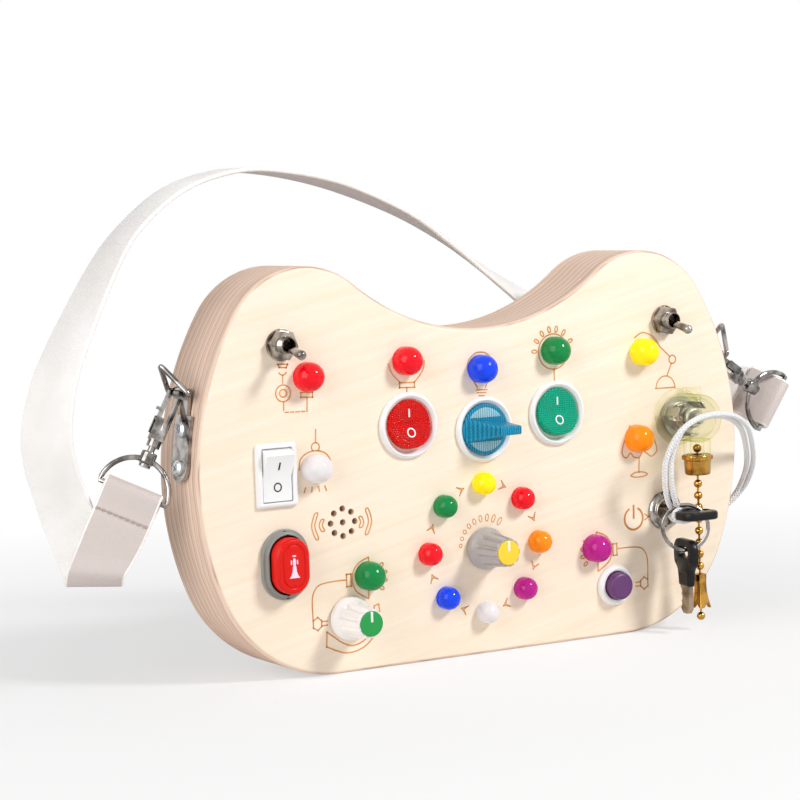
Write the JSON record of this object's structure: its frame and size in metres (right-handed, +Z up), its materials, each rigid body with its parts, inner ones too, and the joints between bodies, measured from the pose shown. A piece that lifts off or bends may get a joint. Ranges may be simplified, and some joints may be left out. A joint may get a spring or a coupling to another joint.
{
  "type": "wooden busy board",
  "caption": "Bean-shaped plywood busy board standing on its flat edge, with switches, dials, push buttons, coloured lamps, a key lock, a pull chain and a clip-on carrying strap",
  "frame": {"origin": "middle of the flat lower edge that the board stands on, half-way through its thickness", "axes": "+X to the right along the face, +Y away from the viewer through the board, +Z up"},
  "size_m": [0.3065, 0.0851, 0.1727],
  "materials": {
    "birch_face": "smooth sanded birch plywood with engraved brown line icons",
    "birch_ring": "layered plywood edge",
    "screw_steel": "bright steel screws",
    "tray_black": "matt black plastic",
    "cell_grey": "plain sleeve",
    "board_green": "circuit board",
    "speaker_grey": "dark metal can",
    "lamp_red": "translucent dome",
    "lamp_blue": "translucent dome",
    "lamp_green": "translucent dome",
    "lamp_yellow": "translucent dome",
    "lamp_orange": "translucent dome",
    "lamp_magenta": "translucent dome",
    "lamp_white": "milky dome",
    "toggle_nickel": "nickel plated",
    "white_plastic": "satin white plastic",
    "cap_red": "translucent red with fine grid",
    "cap_green": "translucent green with fine grid",
    "knob_blue": "translucent blue",
    "housing_grey": "grey plastic",
    "horn_red": "satin red with a lilac horn sign",
    "cap_purple": "satin purple",
    "pot_metal": "plated metal",
    "knob_ivory": "satin white",
    "cap_dial_green": "green with a white pointer",
    "knob_silver": "silver grey",
    "cap_dial_yellow": "yellow with a white pointer",
    "lock_chrome": "polished",
    "key_steel": "plated key blade",
    "key_black": "black moulded plastic",
    "cord_white": "braided white cord",
    "clear_plastic": "clear, olive tinted at the edges",
    "works_metal": "metal contacts and spring",
    "brass": "polished brass",
    "fitting_steel": "polished steel fittings",
    "strap_cream": "cream grained leather-like strap"
  },
  "bodies": {
    "board": {"front_panel": "birch_face", "frame_ring": "birch_ring", "back_panel": "birch_face", "wood_screws": "screw_steel", "battery_tray": "tray_black", "battery_cells": "cell_grey", "circuit_board": "board_green", "speaker": "speaker_grey", "led_red": "lamp_red", "led_blue": "lamp_blue", "led_green": "lamp_green", "led_yellow": "lamp_yellow", "led_orange": "lamp_orange", "led_magenta": "lamp_magenta", "led_white": "lamp_white", "toggle_bodies": "toggle_nickel", "toggle_nuts": "toggle_nickel", "round_housings": "white_plastic", "white_rocker_housing": "white_plastic", "horn_housing": "housing_grey", "push_housing": "white_plastic", "pot_bodies": "pot_metal", "lock_housing": "lock_chrome", "key_cord": "cord_white", "pull_switch_housing": "clear_plastic", "pull_switch_works": "works_metal", "pull_switch_collar": "brass", "strap_plates": "fitting_steel", "strap": "strap_cream"},
    "toggle_left": {"toggle_lever_left": "toggle_nickel"},
    "toggle_right": {"toggle_lever_right": "toggle_nickel"},
    "rocker_red": {"rocker_cap_red": "cap_red"},
    "rocker_green": {"rocker_cap_green": "cap_green"},
    "rotary": {"rotary_knob": "knob_blue"},
    "white_rocker": {"white_rocker_cap": "white_plastic"},
    "horn": {"horn_button": "horn_red"},
    "push": {"push_cap": "cap_purple"},
    "knob_white": {"knob_white": "knob_ivory", "knob_white_cap": "cap_dial_green", "pot_shaft_white": "pot_metal"},
    "knob_grey": {"knob_grey": "knob_silver", "knob_grey_cap": "cap_dial_yellow", "pot_shaft_grey": "pot_metal"},
    "lock": {"lock_plug": "lock_chrome"},
    "key": {"lock_key": "key_steel", "lock_key_head": "key_black"},
    "ring": {"key_ring": "fitting_steel"},
    "spare": {"spare_key": "key_steel", "spare_key_head": "key_black"},
    "chain": {"pull_chain": "brass"},
    "pendant": {"chain_pendant": "brass"},
    "ring_left": {"plate_ring_left": "fitting_steel"},
    "ring_right": {"plate_ring_right": "fitting_steel"},
    "hook_left": {"snap_hook_left": "fitting_steel"},
    "hook_right": {"snap_hook_right": "fitting_steel"},
    "d_ring_left": {"d_ring_left": "fitting_steel"},
    "d_ring_right": {"d_ring_right": "fitting_steel"},
    "gate_left": {"hook_gate_left": "fitting_steel"},
    "gate_right": {"hook_gate_right": "fitting_steel"},
    "battery_door": {"battery_door": "tray_black"}
  },
  "joints": [
    {"name": "toggle_left", "type": "hinge", "parent": "board", "child": "toggle_left", "pos_m": [-0.0788, -0.0172, 0.1132], "axis": [-1, 0, 0], "range_deg": [0, 26]},
    {"name": "toggle_right", "type": "hinge", "parent": "board", "child": "toggle_right", "pos_m": [0.0788, -0.0172, 0.1132], "axis": [-1, 0, 0], "range_deg": [0, 26]},
    {"name": "rocker_red", "type": "hinge", "parent": "board", "child": "rocker_red", "pos_m": [-0.0306, -0.014, 0.0828], "axis": [1, 0, 0], "range_deg": [0, 21.4]},
    {"name": "rocker_green", "type": "hinge", "parent": "board", "child": "rocker_green", "pos_m": [0.0306, -0.014, 0.0828], "axis": [1, 0, 0], "range_deg": [0, 21.4]},
    {"name": "rotary", "type": "hinge", "parent": "board", "child": "rotary", "pos_m": [0, -0.015, 0.0792], "axis": [0, -1, 0], "range_deg": [-45, 45]},
    {"name": "white_rocker", "type": "hinge", "parent": "board", "child": "white_rocker", "pos_m": [-0.0823, -0.014, 0.0699], "axis": [-1, 0, 0], "range_deg": [0, 26]},
    {"name": "horn", "type": "slide", "parent": "board", "child": "horn", "axis": [0, 1, 0], "range_m": [0, 0.0025], "stiffness_N_per_m": 400},
    {"name": "push", "type": "slide", "parent": "board", "child": "push", "axis": [0, 1, 0], "range_m": [0, 0.0022], "stiffness_N_per_m": 400},
    {"name": "knob_white", "type": "hinge", "parent": "board", "child": "knob_white", "pos_m": [-0.0563, -0.015, 0.0188], "axis": [0, -1, 0], "range_deg": [-150, 150]},
    {"name": "knob_grey", "type": "hinge", "parent": "board", "child": "knob_grey", "pos_m": [-0.001, -0.015, 0.0373], "axis": [0, -1, 0], "range_deg": [-150, 150]},
    {"name": "lock_turn", "type": "hinge", "parent": "board", "child": "lock", "pos_m": [0.077, -0.015, 0.0436], "axis": [0, 1, 0], "range_deg": [0, 90], "deforming": ["key_cord"]},
    {"name": "key_pull", "type": "slide", "parent": "lock", "child": "key", "axis": [0, -1, 0], "range_m": [0, 0.014], "deforming": ["key_cord"]},
    {"name": "key_ring", "type": "hinge", "parent": "key", "child": "ring", "pos_m": [0.0753, -0.0301, 0.0389], "axis": [0.5, 0.866, 0], "range_deg": [0, 25]},
    {"name": "spare_swing", "type": "hinge", "parent": "ring", "child": "spare", "pos_m": [0.0753, -0.0301, 0.0307], "axis": [0.866, -0.5, 0], "range_deg": [-8, 8]},
    {"name": "chain_pull", "type": "slide", "parent": "board", "child": "chain", "axis": [0, 0, -1], "range_m": [0, 0.003], "stiffness_N_per_m": 60},
    {"name": "pendant_swing", "type": "hinge", "parent": "chain", "child": "pendant", "pos_m": [0.0837, -0.027, 0.0194], "axis": [0, 1, 0], "range_deg": [-20, 0]},
    {"name": "plate_ring_left", "type": "hinge", "parent": "board", "child": "ring_left", "pos_m": [-0.11074, -0.004, 0.09842], "axis": [0, -1, 0], "range_deg": [-30, 15]},
    {"name": "plate_ring_right", "type": "hinge", "parent": "board", "child": "ring_right", "pos_m": [0.11074, -0.004, 0.09842], "axis": [0, 1, 0], "range_deg": [-30, 15]},
    {"name": "hook_left", "type": "hinge", "parent": "board", "child": "hook_left", "pos_m": [-0.11074, 0.0001, 0.09842], "axis": [0, 1, 0], "range_deg": [-5, 30], "deforming": ["strap"]},
    {"name": "hook_right", "type": "hinge", "parent": "board", "child": "hook_right", "pos_m": [0.11074, 0.0001, 0.09842], "axis": [0, -1, 0], "range_deg": [-5, 30], "deforming": ["strap"]},
    {"name": "swivel_left", "type": "hinge", "parent": "hook_left", "child": "d_ring_left", "pos_m": [-0.12153, 0.0001, 0.07812], "axis": [-0.4695, 0, -0.8829], "range_deg": [-15, 15], "deforming": ["strap"]},
    {"name": "swivel_right", "type": "hinge", "parent": "hook_right", "child": "d_ring_right", "pos_m": [0.12958, 0.0001, 0.08523], "axis": [0.8191, 0, -0.5736], "range_deg": [-15, 15], "deforming": ["strap"]},
    {"name": "gate_left", "type": "hinge", "parent": "hook_left", "child": "gate_left", "pos_m": [-0.11761, 0.0001, 0.0903], "axis": [0, 1, 0], "range_deg": [0, 25], "stiffness_Nm_per_rad": 0.002},
    {"name": "gate_right", "type": "hinge", "parent": "hook_right", "child": "gate_right", "pos_m": [0.12055, 0.0001, 0.0943], "axis": [0, -1, 0], "range_deg": [0, 25], "stiffness_Nm_per_rad": 0.002},
    {"name": "battery_door", "type": "hinge", "parent": "board", "child": "battery_door", "pos_m": [0, 0.014, 0.0624], "axis": [1, 0, 0], "range_deg": [0, 100]}
  ]
}
